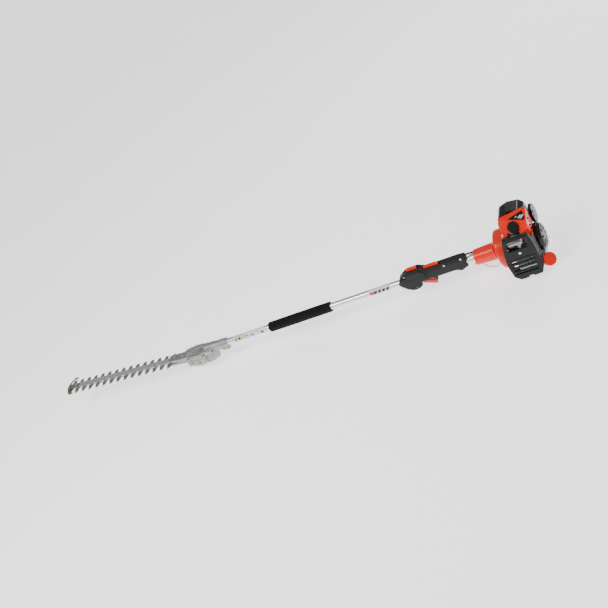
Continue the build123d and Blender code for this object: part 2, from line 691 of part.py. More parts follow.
def cover_form(side, y0, y1, lift):
    """The cover's side view drawn along Y, with its front and its roof sliced to slope."""
    form = prism_y(side, y0, y1, 4 + lift)
    form -= outside(FRONT_POINT, FRONT_NORMAL, lift)
    return form - outside(ROOF_POINT, ROOF_NORMAL, lift)


BOLT_SEAT = Plane(origin=(1162.7, -23.05, 63.65), z_dir=FRONT_NORMAL)


def engine_cover():
    """Orange shroud over the cylinder: sloping roof, rear pillar, plug opening and louvres."""
    side = [(1157, 46), (1156, 92), (1163, 107), (1254, 118.5), (1261, 112), (1259, 18),
            (1245, 18), (1236, 62), (1176, 58), (1172, 46)]
    shell = cover_form(side, -52, 22, 0)
    inner = [(1150, 0), (1150, 92), (1164, 104), (1253, 115.5), (1258, 110), (1256, 0)]
    shell -= cover_form(inner, -49, 30, -3)
    shell -= block(1225, 1300, -40, 40, -10, 30) + disc_x(49.5, 1235, 1290)
    shell -= block(1181, 1216, -60, -20, 30, 69.5)
    shell -= PLUG_AXIS * (disc_z(20, 0.5, 50) + block(-12, 12, -34, 0, 8, 50))
    shell -= cord(LEAD_POINTS, LEAD_RADII, LEAD_R + 0.8)
    shell -= BOLT_SEAT * disc_z(2.6, -8, 8)
    for i in range(5):
        z = 40 + 12.5 * i
        slot = Pos(1256, -16, z) * (Rot(-25, 0, 0) * block(-10, 10, -16, 16, -2.6, 2.6))
        shell -= slot
    return shell


def intake_insulator():
    return disc_y(15, 36.1, 44, CYL_X, 50) - disc_y(6, 30, 50, CYL_X, 50)


CHOKE_Y = 63.0


def carburettor():
    """Body with its bore along Y, and the pump cover below."""
    body = block(1180, 1216, 44, 66, 34, 66) + block(1184, 1212, 47, 63, 28, 35)
    body -= disc_y(7, 40, 70, CYL_X, 50)
    return body - disc_z(1.55, 30, 76, CYL_X, 52) - disc_x(1.55, 1170, 1222, CHOKE_Y, 50)


def throttle_valve():
    """Shaft, butterfly and the arm that the cable pulls."""
    shaft = disc_z(1.5, 38, 74, CYL_X, 52)
    plate = disc_y(6.7, 51.6, 52.4, CYL_X, 50)
    arm = capsule_z(CYL_X, CYL_X - 12, 3, 69, 71, 52)
    return shaft + plate + arm


def choke_lever():
    """Choke shaft along X with its butterfly and a thumb lever at the rear."""
    shaft = disc_x(1.5, 1186, 1240, CHOKE_Y, 50)
    plate = block(CYL_X - 5.5, CYL_X + 5.5, CHOKE_Y - 0.8, CHOKE_Y + 0.8, 46, 54)
    lever = prism_x([(60, 46), (66, 46), (68, 66), (63, 72), (59, 66)], 1236, 1240, 1.5)
    return shaft + plate + lever


def purge_bulb():
    dome = Pos(CYL_X, 55, 27.8) * (Sphere(9) & block(-10, 10, -10, 10, -10, 0))
    return dome - Pos(CYL_X, 55, 27.9) * Sphere(7.6)


def air_filter():
    return block(1174, 1222, 68, 75, 30, 98) - block(1178, 1218, 64, 72, 34, 94)


def air_cleaner_cover():
    """Black cover over filter and carburettor on the far side, ribbed on top."""
    side = [(1158, 34), (1157, 98), (1166, 109), (1196, 118), (1234, 113), (1248, 96), (1250, 38)]
    inner = [(1161, 20), (1160, 97), (1168, 106), (1197, 115), (1232, 110), (1245, 94), (1247, 20)]
    shell = prism_y(side, 22.4, 80, 8) - prism_y(inner, 10, 77, 5) - disc_x(49.5, 1235, 1290)
    tilt = Pos(1168, 0, 110) * Rot(0, -16.7, 0)
    ribs = [tilt * block(2, 28, 28 + 7 * i, 31 + 7 * i, -3, 1.2) for i in range(7)]
    return shell + total(ribs)


def carburettor_guard():
    """Eight-sided guard with two openings, behind the carburettor, on two posts."""
    ring = [(47, 23), (73, 23), (91, 41), (91, 67), (73, 85), (47, 85), (29, 67), (29, 41)]
    inner = [(60 + 0.9 * (y - 60), 54 + 0.9 * (z - 54)) for y, z in ring]
    body = prism_x(ring, 1257, 1268, 3) - prism_x(inner, 1250, 1264.5, 2)
    posts = disc_x(4, 1250.3, 1265, 66, 66) + disc_x(4, 1250.3, 1265, 66, 40)
    return body + posts - disc_x(6, 1260, 1272, 46, 69) - disc_x(5, 1260, 1272, 40, 56)


def muffler():
    box = fillet(block(1176, 1232, -88, -53, 18, 66).edges(), 6)
    outlet = disc_y(7, -94, -87, 1218, 52) - disc_y(5, -96, -84, 1218, 52)
    flange = disc_y(14, -42, -38.1, CYL_X, 54) + disc_y(10, -54, -41, CYL_X, 54)
    hollow = fillet(block(1178, 1230, -86, -55, 20, 64).edges(), 4)
    return box + outlet + flange - hollow - disc_y(7, -60, -37, CYL_X, 54)


GUARD = [(1174, 97), (1262, 94), (1266, 60), (1264, 0), (1262, -42), (1247, -70), (1172, -72),
         (1154, -55), (1152, -3), (1160, 45)]
GUARD_SCREW = (1212, 36)


def muffler_guard():
    """Black box round the muffler: framed window, ribs and slots below it."""
    body = prism_y(GUARD, -104, -55, 5)
    cx, cz = 1208.0, 10.0
    inner = [(cx + (x - cx) * 0.945, cz + (z - cz) * 0.962) for x, z in GUARD]
    body -= prism_y(inner, -101, -50, 3)
    body -= prism_y([(1182, 84), (1253, 87), (1245, 51), (1177, 50)], -110, -98, 4)
    for i in range(4):
        z = 3 - 16.2 * i
        body -= block(1163, 1243, -110, -100, z - 2.6, z + 2.6)
        body -= block(1240, 1275, -96, -58, z - 2.6, z + 2.6)
    body -= block(1140, 1290, -88, -50, 68, 110)
    body -= disc_x(69, 1100, 1158) + disc_y(2.6, -110, -90, *GUARD_SCREW)
    body -= FILLER * disc_z(27, -40, 40)
    return body - block(1200, 1217, -110, -90, -80, -66)


def starter_case():
    """Recoil housing at the rear, coaxial with the crankshaft, with air slots."""
    cup = turned_x([(1240, 0), (1240, 48), (1270, 47), (1279, 40), (1281, 30), (1281, 0)])
    cup -= turned_x([(1239, 0), (1239, 45), (1268, 44), (1276, 38), (1278, 28), (1278, 0)])
    slots = [Rot(45 * i + 22.5, 0, 0) * block(1272, 1285, -3, 3, 18, 36) for i in range(8)]
    post = disc_x(5, 1256, 1278.5)
    outlet = disc_y(3, 40, 50, 1258, 0)
    return cup + post - total(slots) - outlet


def starter_reel():
    reel = disc_x(34, 1256, 1259) + disc_x(34, 1265, 1268) + disc_x(26, 1258, 1266)
    return reel - disc_x(5 + RUN, 1250, 1275)


def starter_grip():
    """Pull handle and the short rope that shows outside the case."""
    bar = Pos(1258, 57, 0) * capsule_z(-9, 9, 5.5, -5, 5)
    rope = disc_y(1.8, 36, 52, 1258, 0)
    return bar + rope


def fuel_tank():
    """Blow-moulded tank under the crankcase, with the filler towards the rear corner."""
    side = [(1164, -38), (1166, -72), (1174, BASE_Z), (1250, BASE_Z), (1264, -72), (1264, -51),
            (1239, -51), (1235, -38)]
    shape = prism_y(side, -46, 50, 4)
    inner = [(1167, -41), (1169, -70), (1176, -77), (1248, -77), (1261, -70), (1261, -54),
             (1236.5, -54), (1232.5, -41)]
    hollow = prism_y(inner, -43, 47, 2)
    neck = FILLER * disc_z(15, -26, 0)
    bore = FILLER * disc_z(12, -28, 1)
    return shape + neck - hollow - bore


FILLER = Pos(1272, -64, -56) * Rot(0, 0, -45) * Rot(0, 60, 0)


def fuel_cap():
    cap = disc_z(23, 0.4, 13) - disc_z(15.4, -1, 8)
    grips = total([Rot(0, 0, 30 * i) * disc_z(3.2, -1, 14, 25, 0) for i in range(12)])
    return FILLER * (cap - grips)


def engine_screws():
    """Crankcase, cover and guard screws."""
    pieces = [disc_x(2.5, 1150, 1172, y, z) + disc_x(4.5, 1146, 1150, y, z) for y, z in CASE_SCREWS]
    pieces.append(disc_y(2.5, -104, -88.5, *GUARD_SCREW) + disc_y(4.5, -107.5, -104, *GUARD_SCREW))
    pieces.append(BOLT_SEAT * (disc_z(2.5, -5, 0) + disc_z(4.8, 0.1, 4)))
    return group(*pieces)


def ground_lead():
    """Thin lead clipped under the neck and to the front of the fan case."""
    points = [(1052, -12, -28.6), (1066, -20, -38), (1090, -30, -42), (1104, -38, -36), (1110.5, -38, -26)]
    return cord(points, [12, 16, 14], 1.3)


NODES = {
    "blade_upper": lambda: HEAD * blade(REST_SHIFT, 0.1, True),
    "blade_lower": lambda: HEAD * blade(-REST_SHIFT, -0.1 - BLADE_T, False),
    "guide_bar": lambda: HEAD * guide_bar(),
    "bar_bolts": lambda: HEAD * bar_bolts(),
    "bar_spacers": lambda: HEAD * bar_spacers(),
    "tip_guard": lambda: HEAD * tip_guard(),
    "gearcase_upper": gearcase_upper,
    "gearcase_lower": gearcase_lower,
    "gearcase_screws": gearcase_screws,
    "grease_nipple": grease_nipple,
    "bevel_pinion": bevel_pinion,
    "bevel_gear": bevel_gear,
    "crank_gear": crank_gear,
    "rod_upper": lambda: blade_rod(1, 3.1),
    "rod_lower": lambda: blade_rod(-1, -6.7),
    "bearings": all_bearings,
    "drive_tube": lambda: ring_x(TUBE_R, TUBE_BORE_R, *TUBE_X),
    "drive_shaft": lambda: disc_x(SHAFT_R, -65.9, 1084),
    "shaft_bushes": lambda: group(*[shaft_bush(x) for x in BUSH_STATIONS]),
    "foam_grip": foam_grip,
    "handle_left": lambda: handle_half(-1),
    "handle_right": lambda: handle_half(1),
    "handle_screws": handle_screws,
    "throttle_trigger": throttle_trigger,
    "trigger_lockout": trigger_lockout,
    "stop_switch": stop_switch,
    "control_sleeve": control_sleeve,
    "ground_lead": ground_lead,
    "neck_clamp": neck_clamp,
    "damper_sleeve": damper_sleeve,
    "fan_case": fan_case,
    "clutch_drum": clutch_drum,
    "clutch_shoes": clutch_shoes,
    "flywheel": flywheel,
    "ignition_coil": ignition_coil,
    "crankcase": crankcase,
    "crankshaft": crankshaft,
    "connecting_rod": connecting_rod,
    "piston": piston,
    "cylinder": cylinder,
    "spark_plug": spark_plug,
    "plug_cap": plug_cap,
    "spark_lead": spark_lead,
    "engine_cover": engine_cover,
    "intake_insulator": intake_insulator,
    "carburettor": carburettor,
    "throttle_valve": throttle_valve,
    "choke_lever": choke_lever,
    "purge_bulb": purge_bulb,
    "air_filter": air_filter,
    "air_cleaner_cover": air_cleaner_cover,
    "carburettor_guard": carburettor_guard,
    "muffler": muffler,
    "muffler_guard": muffler_guard,
    "starter_case": starter_case,
    "starter_reel": starter_reel,
    "starter_grip": starter_grip,
    "fuel_tank": fuel_tank,
    "fuel_cap": fuel_cap,
    "engine_screws": engine_screws,
}


def main():
    os.makedirs("parts", exist_ok=True)
    for name, make in NODES.items():
        save(name, make())


main()
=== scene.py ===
# %% [markdown]
# # A pole hedge trimmer, dressed in Blender
# The machine arrives as an exact CAD assembly: a long tube with an engine at one end and a pair of
# toothed blades at the other. Everything that moves already hangs on its own joint. This lesson keeps
# that frame untouched and gives it looks. Some CAD pieces stay and only get a better finish; others are
# hidden, and a finer piece of the same size stands in their place.

import math

import bmesh
import bpy
from mathutils import Matrix, Vector
from mathutils.bvhtree import BVHTree


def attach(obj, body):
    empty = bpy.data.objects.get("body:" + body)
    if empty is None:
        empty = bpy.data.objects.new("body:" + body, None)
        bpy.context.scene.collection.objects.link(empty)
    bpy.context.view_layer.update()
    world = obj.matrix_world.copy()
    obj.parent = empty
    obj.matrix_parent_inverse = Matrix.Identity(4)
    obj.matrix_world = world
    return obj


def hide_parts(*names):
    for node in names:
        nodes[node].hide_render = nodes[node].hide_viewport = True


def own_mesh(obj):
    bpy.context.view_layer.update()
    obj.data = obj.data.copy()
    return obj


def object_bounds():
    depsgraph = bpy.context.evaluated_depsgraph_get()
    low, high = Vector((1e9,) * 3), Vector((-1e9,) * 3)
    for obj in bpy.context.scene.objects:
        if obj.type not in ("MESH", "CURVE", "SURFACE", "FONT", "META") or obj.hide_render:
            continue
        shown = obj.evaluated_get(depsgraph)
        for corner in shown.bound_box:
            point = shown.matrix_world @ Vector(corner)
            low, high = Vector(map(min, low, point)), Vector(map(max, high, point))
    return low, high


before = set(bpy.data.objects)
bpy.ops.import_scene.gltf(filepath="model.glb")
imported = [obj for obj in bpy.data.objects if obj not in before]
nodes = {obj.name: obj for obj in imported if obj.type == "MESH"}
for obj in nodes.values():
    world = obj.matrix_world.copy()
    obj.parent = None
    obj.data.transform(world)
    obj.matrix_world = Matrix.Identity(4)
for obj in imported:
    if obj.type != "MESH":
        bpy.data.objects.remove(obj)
cad_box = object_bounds()

# %% [markdown]
# ## The camera
# A long lens from far away keeps the tube's edges almost parallel. The camera looks down at about thirty
# degrees and is rolled, so that the machine crosses the square picture from corner to corner. Its place
# is written as a distance along the viewing direction plus two small shifts in the picture plane.

# %% Camera
MM = 0.001
HANGER_X = 550.0
VIEW_AZ, VIEW_EL, VIEW_ROLL = (math.radians(v) for v in (31.671, 31.0, 36.697))
VIEW_DISTANCE, VIEW_RIGHT, VIEW_UP = 4191.14, 290.723, 143.230
FOCAL_SHARE = 1.80921
SENSOR = 36.0

level = Vector((math.cos(VIEW_AZ), math.sin(VIEW_AZ), 0.0))
flat_back = Vector((math.sin(VIEW_AZ), -math.cos(VIEW_AZ), 0.0))
back = flat_back * math.cos(VIEW_EL) + Vector((0.0, 0.0, math.sin(VIEW_EL)))
upright = back.cross(level)
right = level * math.cos(VIEW_ROLL) - upright * math.sin(VIEW_ROLL)
up = level * math.sin(VIEW_ROLL) + upright * math.cos(VIEW_ROLL)
eye = back * VIEW_DISTANCE + right * VIEW_RIGHT + up * VIEW_UP - Vector((HANGER_X, 0, 0))

camera_data = bpy.data.cameras.new("camera")
camera_data.sensor_width = SENSOR
camera_data.lens = SENSOR * FOCAL_SHARE
camera = bpy.data.objects.new("camera", camera_data)
camera.matrix_world = Matrix.Translation(eye * MM) @ Matrix((right, up, back)).transposed().to_4x4()
bpy.context.scene.collection.objects.link(camera)
bpy.context.scene.camera = camera
print("camera at", [round(v * MM, 3) for v in eye], "lens", round(camera_data.lens, 2))

# %% [markdown]
# ## Sums of sockets
# A procedural material is arithmetic on the place of each point. Written as nodes, that arithmetic is
# long, so a small class wraps a socket and lets Python's own operators add the Math nodes. One method
# makes every other kind of node: it takes the node's type, its settings and its inputs.

# %% Shader helpers
class Value:
    """A socket that takes part in Python expressions."""

    def __init__(self, finish, socket):
        self.finish = finish
        self.socket = socket

    def sum(self, operation, first, second=0.0):
        settings = {"operation": operation}
        return self.finish.node("ShaderNodeMath", settings, {0: first, 1: second})

    def __add__(self, other):
        return self.sum("ADD", self, other)

    def __radd__(self, other):
        return self.sum("ADD", other, self)

    def __sub__(self, other):
        return self.sum("SUBTRACT", self, other)

    def __rsub__(self, other):
        return self.sum("SUBTRACT", other, self)

    def __mul__(self, other):
        return self.sum("MULTIPLY", self, other)

    def __rmul__(self, other):
        return self.sum("MULTIPLY", other, self)

    def __truediv__(self, other):
        return self.sum("DIVIDE", self, other)

    def __pow__(self, other):
        return self.sum("POWER", self, other)

    def __abs__(self):
        return self.sum("ABSOLUTE", self)

    def __lt__(self, other):
        return self.sum("LESS_THAN", self, other)

    def __gt__(self, other):
        return self.sum("GREATER_THAN", self, other)


class Finish:
    """One material under construction."""

    def __init__(self, name):
        self.material = bpy.data.materials.new(name)
        self.material.use_nodes = True
        self.tree = self.material.node_tree
        self.shader = self.tree.nodes["Principled BSDF"]

    def node(self, kind, settings=None, inputs=None, output=0):
        made = self.tree.nodes.new(kind)
        for key, value in (settings or {}).items():
            if key == "stops":
                for place, colour in value[2:]:
                    made.color_ramp.elements.new(place).color = colour
                for element, (place, colour) in zip(made.color_ramp.elements, sorted(value)):
                    element.position, element.color = place, colour
            else:
                setattr(made, key, value)
        for key, value in (inputs or {}).items():
            self.feed(made.inputs[key], value)
        return Value(self, made.outputs[output])

    def feed(self, socket, value):
        if isinstance(value, Value):
            self.tree.links.new(value.socket, socket)
        else:
            socket.default_value = value

    def set(self, **sockets):
        for name, value in sockets.items():
            self.feed(self.shader.inputs[name.replace("_", " ")], value)
        return self

    def place(self, scale=(1.0, 1.0, 1.0)):
        """Object coordinates, in metres, stretched by scale."""
        spot = self.node("ShaderNodeTexCoord", output="Object")
        return self.node("ShaderNodeMapping", {}, {"Vector": spot, "Scale": scale})

    def noise(self, size, detail=2.0, scale=(1.0, 1.0, 1.0)):
        """Cloudy values from 0 to 1 whose lumps are about size metres across."""
        inputs = {"Vector": self.place(scale), "Scale": 1.0 / size, "Detail": detail}
        return self.node("ShaderNodeTexNoise", {}, inputs)

    def blend(self, factor, first, second):
        """A colour between two colours."""
        settings = {"data_type": "RGBA"}
        return self.node("ShaderNodeMix", settings, {0: factor, 6: first, 7: second}, 2)

    def bump(self, height, depth):
        inputs = {"Height": height, "Distance": depth, "Strength": 1.0}
        self.set(Normal=self.node("ShaderNodeBump", {}, inputs))
        return self


print("helpers ready: Value and Finish")

# %% [markdown]
# ## Finishes
# Most surfaces here are moulded plastic, castings or steel. Each gets three things on top of its colour:
# a slow drift between two tones, a finer grain in the bump, and a roughness that changes a little from
# place to place, because real handling never leaves one even shine. One function makes them all.

# %% Moulded and cast finishes
def rgba(r, g, b):
    return (r, g, b, 1.0)


def moulded_finish(name, tone, other, gloss, spread, grain, depth, metal=0.0, coat=0.0, shine=0.5):
    """Plastic, rubber or cast metal: two tones, a grain of that size and that depth in metres."""
    finish = Finish(name)
    drift = finish.noise(0.03, 3.0)
    fine = finish.noise(grain, 3.0)
    scuff = finish.noise(0.006, 5.0) ** 3.0
    finish.set(Base_Color=finish.blend(drift, tone, other), Metallic=metal, Coat_Weight=coat)
    finish.set(Roughness=gloss + spread * drift + 0.25 * scuff, Coat_Roughness=0.08)
    finish.set(Specular_IOR_Level=shine)
    return finish.bump(fine + 0.3 * drift, depth).material


orange = moulded_finish("orange_gloss", rgba(0.86, 0.022, 0.0), rgba(0.76, 0.014, 0.0),
                        0.20, 0.06, 0.0008, 0.00003, coat=0.18, shine=0.22)
trim = moulded_finish("orange_satin", rgba(0.88, 0.030, 0.0), rgba(0.80, 0.020, 0.0),
                      0.33, 0.06, 0.0006, 0.00005, shine=0.22)
grained = moulded_finish("charcoal_grain", rgba(0.011, 0.011, 0.012), rgba(0.018, 0.018, 0.019),
                         0.42, 0.12, 0.0007, 0.00012, shine=0.20)
glossy = moulded_finish("black_gloss", rgba(0.003, 0.003, 0.003), rgba(0.006, 0.006, 0.007),
                        0.16, 0.08, 0.0010, 0.00003, coat=0.10, shine=0.25)
satin = moulded_finish("black_satin", rgba(0.006, 0.006, 0.007), rgba(0.011, 0.011, 0.012),
                       0.34, 0.10, 0.0006, 0.00008, shine=0.20)
rubber = moulded_finish("black_rubber", rgba(0.004, 0.004, 0.005), rgba(0.010, 0.010, 0.011),
                        0.50, 0.12, 0.0005, 0.00010, shine=0.22)
casting = moulded_finish("cast_aluminium", rgba(0.46, 0.455, 0.44), rgba(0.26, 0.257, 0.25),
                         0.38, 0.20, 0.0022, 0.00050, metal=0.9)
tip_cast = moulded_finish("tip_casting", rgba(0.30, 0.27, 0.23), rgba(0.20, 0.18, 0.155),
                          0.42, 0.16, 0.0008, 0.00016, metal=0.8)
alloy = moulded_finish("machined_alloy", rgba(0.62, 0.62, 0.62), rgba(0.52, 0.52, 0.53),
                       0.28, 0.10, 0.0006, 0.00005, metal=1.0)
zinc = moulded_finish("zinc_plate", rgba(0.66, 0.65, 0.62), rgba(0.50, 0.50, 0.50),
                      0.24, 0.12, 0.0005, 0.00004, metal=1.0)
brass = moulded_finish("brass", rgba(0.60, 0.42, 0.14), rgba(0.48, 0.33, 0.11),
                       0.25, 0.10, 0.0005, 0.00003, metal=1.0)
print("moulded finishes:", [m.name for m in bpy.data.materials if m.name != "Material"])

# %% [markdown]
# ## Steel and drawn tube
# A drawn tube and a ground blade carry fine lines in one direction. Stretching the noise along that
# direction makes the lines: the coordinate is squeezed along the line, so the pattern changes slowly
# there and fast across.

# %% Lined metals
def lined_finish(name, tone, other, gloss, line, squeeze, depth):
    """Bare metal with lines; squeeze is the coordinate scale that stretches them."""
    finish = Finish(name)
    lines = finish.noise(line, 4.0, squeeze)
    stain = finish.noise(0.02, 4.0)
    finish.set(Base_Color=finish.blend(0.65 * lines + 0.35 * stain, tone, other), Metallic=1.0)
    finish.set(Roughness=gloss + 0.14 * lines + 0.10 * stain)
    return finish.bump(lines, depth).material


tube_metal = lined_finish("drawn_tube", rgba(0.86, 0.86, 0.87), rgba(0.74, 0.74, 0.755),
                          0.22, 0.0006, (0.02, 1.0, 1.0), 0.00003)
blade_metal = lined_finish("ground_blade", rgba(0.42, 0.41, 0.395), rgba(0.27, 0.265, 0.26),
                           0.24, 0.0007, (1.0, 0.05, 1.0), 0.00004)
bar_metal = lined_finish("bright_bar", rgba(0.80, 0.80, 0.80), rgba(0.66, 0.66, 0.67),
                         0.20, 0.0005, (0.03, 1.0, 1.0), 0.00003)
gear_metal = lined_finish("gear_steel", rgba(0.46, 0.46, 0.47), rgba(0.34, 0.34, 0.35),
                          0.28, 0.0006, (1.0, 1.0, 0.1), 0.00003)
print("lined metals:", tube_metal.name, blade_metal.name, bar_metal.name, gear_metal.name)

# %% [markdown]
# ## Foam, milky plastic and the two-coloured lead
# Foam is a field of small open cells, which a cell texture draws well. The tank is thin milky plastic
# that lets light through. The thin lead under the neck fades from dark green to pale green along its
# length, so its colour follows the position along the machine.

# %% Foam, tank and lead
foam = Finish("grip_foam")
cells = foam.node("ShaderNodeTexVoronoi", {}, {"Vector": foam.place(), "Scale": 900.0})
lumps = foam.noise(0.004, 4.0)
foam.set(Base_Color=foam.blend(cells, rgba(0.002, 0.002, 0.002), rgba(0.010, 0.010, 0.011)))
foam.set(Specular_IOR_Level=0.15)
foam.set(Roughness=0.72 + 0.2 * lumps).bump(cells + 0.5 * lumps, 0.0005)

tank = Finish("milky_tank")
haze = tank.noise(0.02, 3.0)
tank.set(Base_Color=tank.blend(haze, rgba(0.78, 0.78, 0.74), rgba(0.66, 0.67, 0.62)))
tank.set(Roughness=0.30 + 0.12 * haze, Transmission_Weight=0.25, Subsurface_Weight=0.2)
tank.bump(tank.noise(0.001, 2.0), 0.00005)

LEAD_FROM, LEAD_LENGTH = 0.505, 0.058
lead = Finish("two_tone_lead")
spot = lead.node("ShaderNodeTexCoord", output="Object")
along = (lead.node("ShaderNodeSeparateXYZ", {}, {0: spot}) - LEAD_FROM) / LEAD_LENGTH
stops = [(0.0, rgba(0.02, 0.03, 0.012)), (1.0, rgba(0.60, 0.66, 0.50)), (0.55, rgba(0.05, 0.10, 0.03))]
fade = lead.node("ShaderNodeValToRGB", {"stops": stops}, {0: along + 0.1 * lead.noise(0.004)})
lead.set(Base_Color=fade, Roughness=0.35 + 0.1 * lead.noise(0.002)).bump(lead.noise(0.0006), 0.00005)
print("special finishes:", foam.material.name, tank.material.name, lead.material.name)

# %% [markdown]
# ## Finishes on the CAD nodes
# A CAD node whose shape is already right keeps its mesh and only swaps its material. The table goes
# from a finish to the nodes that wear it.

# %% Dress the CAD nodes
DRESSED = {
    blade_metal: "blade_upper blade_lower",
    bar_metal: "guide_bar",
    tube_metal: "drive_tube neck_clamp",
    casting: "gearcase_upper gearcase_lower crankcase cylinder carburettor",
    tip_cast: "tip_guard",
    gear_metal: "bevel_pinion bevel_gear crank_gear rod_upper rod_lower drive_shaft clutch_drum "
                "clutch_shoes crankshaft connecting_rod ignition_coil bearings",
    zinc: "bar_bolts bar_spacers gearcase_screws handle_screws engine_screws throttle_valve muffler "
          "spark_plug",
    alloy: "piston flywheel",
    brass: "grease_nipple",
    grained: "handle_left handle_right",
    satin: "muffler_guard starter_reel starter_grip choke_lever shaft_bushes intake_insulator",
    glossy: "air_cleaner_cover carburettor_guard starter_case",
    rubber: "control_sleeve damper_sleeve plug_cap spark_lead purge_bulb air_filter",
    orange: "fan_case engine_cover fuel_cap",
    trim: "throttle_trigger trigger_lockout stop_switch",
    foam.material: "foam_grip",
    tank.material: "fuel_tank",
    lead.material: "ground_lead",
}
dressed = 0
for material, names in DRESSED.items():
    for name in names.split():
        for slot in nodes[name].material_slots:
            slot.material = material
        dressed += 1
print("dressed", dressed, "of", len(nodes), "nodes")

# %% [markdown]
# ## Making a piece
# Most new pieces are skins stretched over a row of rings, as a boat's planks lie over its frames: a
# lathe's rings, the sections of a rib, the outlines of a thin plate. Other pieces start from a copy of
# a CAD mesh, whose loose triangles are merged first. These few helpers make both, and put each piece in
# the scene at the origin, with its place kept in its own mesh.

# %% Piece helpers
MERGE = 0.00001


def placed(name, data):
    obj = bpy.data.objects.new(name, data)
    bpy.context.scene.collection.objects.link(obj)
    return obj


def skinned(name, rings, closed=False, crease=None):
    """A skin over rings of points; crease is the angle in degrees above which an edge stays sharp."""
    work = bmesh.new()
    loops = [[work.verts.new(point) for point in ring] for ring in rings]
    for one, two in zip(loops, loops[1:] + ([loops[0]] if closed else [])):
        for i in range(len(one)):
            j = (i + 1) % len(one)
            work.faces.new((one[i], one[j], two[j], two[i]))
    if not closed:
        work.faces.new(loops[0][::-1])
        work.faces.new(loops[-1])
    bmesh.ops.recalc_face_normals(work, faces=work.faces)
    mesh = bpy.data.meshes.new(name)
    work.to_mesh(mesh)
    work.free()
    if crease:
        mesh.shade_smooth()
        mesh.set_sharp_from_angle(angle=math.radians(crease))
    return placed(name, mesh)


def merged_copy(node, name):
    """A copy of a CAD node's mesh with its loose triangles joined."""
    mesh = nodes[node].data.copy()
    work = bmesh.new()
    work.from_mesh(mesh)
    bmesh.ops.remove_doubles(work, verts=work.verts, dist=MERGE)
    work.to_mesh(mesh)
    work.free()
    return placed(name, mesh)


def as_mesh(obj, name):
    """The object's modifiers baked into a new plain mesh at the origin."""
    graph = bpy.context.evaluated_depsgraph_get()
    mesh = bpy.data.meshes.new_from_object(obj.evaluated_get(graph))
    mesh.name = name
    bpy.data.objects.remove(obj)
    return placed(name, mesh)


def dress(obj, material, body):
    obj.data.materials.clear()
    obj.data.materials.append(material)
    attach(obj, body)
    return obj


print("piece helpers ready")

# %% [markdown]
# ## Moulded shells
# A CAD shell has knife edges, but a casting or a moulding has none: molten metal and plastic cannot
# fill a sharp corner. A copy of the CAD mesh is rebuilt from small even cells and then smoothed a
# little, which rounds every edge by about one cell and keeps the flats flat. The result is a plain mesh
# that rides on the same body and stands in for the node.

# %% Shell helper
def moulded_shell(node, cell, passes, material, body):
    """A softened copy of one CAD node; cell is in metres."""
    obj = merged_copy(node, node + "_work")
    cells = obj.modifiers.new("cells", "REMESH")
    cells.mode, cells.voxel_size, cells.use_smooth_shade = "VOXEL", cell, True
    ease = obj.modifiers.new("ease", "SMOOTH")
    ease.factor, ease.iterations = 0.5, passes
    shell = as_mesh(obj, node + "_shell")
    dress(shell, material, body)
    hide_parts(node)
    print(shell.name, len(shell.data.polygons), "faces")
    return shell


SHELLS = (
    ("gearcase_upper", 0.0011, 3, casting, "cast_aluminium"),
    ("gearcase_lower", 0.0011, 3, casting, "cast_aluminium"),
    ("handle_left", 0.0010, 14, grained, "black_plastic"),
    ("handle_right", 0.0010, 14, grained, "black_plastic"),
    ("fan_case", 0.0013, 6, orange, "orange_plastic"),
    ("engine_cover", 0.0011, 8, orange, "orange_plastic"),
    ("muffler_guard", 0.0011, 2, satin, "black_plastic"),
    ("air_cleaner_cover", 0.0012, 3, glossy, "black_plastic"),
    ("carburettor_guard", 0.0009, 2, glossy, "black_plastic"),
    ("starter_case", 0.0011, 2, glossy, "black_plastic"),
    ("tip_guard", 0.0008, 3, tip_cast, "tip_alloy"),
)
shells = {}
for node, cell, passes, material, slot in SHELLS:
    shells[node] = moulded_shell(node, cell, passes, material, "chassis")

# %% [markdown]
# ## Pieces turned on a lathe
# The foam grip, the stickers and the screw heads are all round. One helper takes a profile, a list of
# distance and radius pairs, and turns it round the tube's axis. It closes into a tube when the profile
# is a loop, so inside and outside are one surface.

# %% Lathe helper
LOBES = 6
LOBE_DEPTH = 0.16


def turned_mesh(name, profile, sides, closed, star=()):
    """profile is (distance, radius) in millimetres; rings listed in star get a six-lobed outline."""
    rings = []
    for index, (x, r) in enumerate(profile):
        turns = [2 * math.pi * i / sides for i in range(sides)]
        lobe = LOBE_DEPTH if index in star else 0.0
        reach = [r * (1 + lobe * math.cos(LOBES * a)) for a in turns]
        rings.append([Vector((x, d * math.cos(a), d * math.sin(a))) * MM for a, d in zip(turns, reach)])
    return skinned(name, rings, closed, 40)


print("lathe ready")

# %% [markdown]
# ## The foam grip
# The front hand holds a soft foam sleeve. Its ends are rounded off, it swells very slightly in places
# between them, and its skin is pitted. The swell comes from the profile and the pits from the finish.

# %% Foam grip
FOAM_X = (196.0, 462.0)
FOAM_R, FOAM_BORE = 19.4, 12.9
STEPS = 40
outer_line = []
for i in range(STEPS + 1):
    t = i / STEPS
    x = FOAM_X[0] + 3.0 + (FOAM_X[1] - FOAM_X[0] - 6.0) * t
    outer_line.append((x - HANGER_X, FOAM_R - 0.25 - 0.2 * math.cos(9 * t) * math.sin(5 * t)))
first, last = FOAM_X[0] - HANGER_X, FOAM_X[1] - HANGER_X
profile = [(first, FOAM_BORE), (first, FOAM_R - 3.0), (first + 0.9, FOAM_R - 1.1)] + outer_line
profile += [(last - 0.9, FOAM_R - 1.1), (last, FOAM_R - 3.0), (last, FOAM_BORE)]
grip = turned_mesh("foam_sleeve", profile, 72, True)
dress(grip, foam.material, "chassis")
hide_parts("foam_grip")
print("foam sleeve", len(grip.data.polygons), "faces")

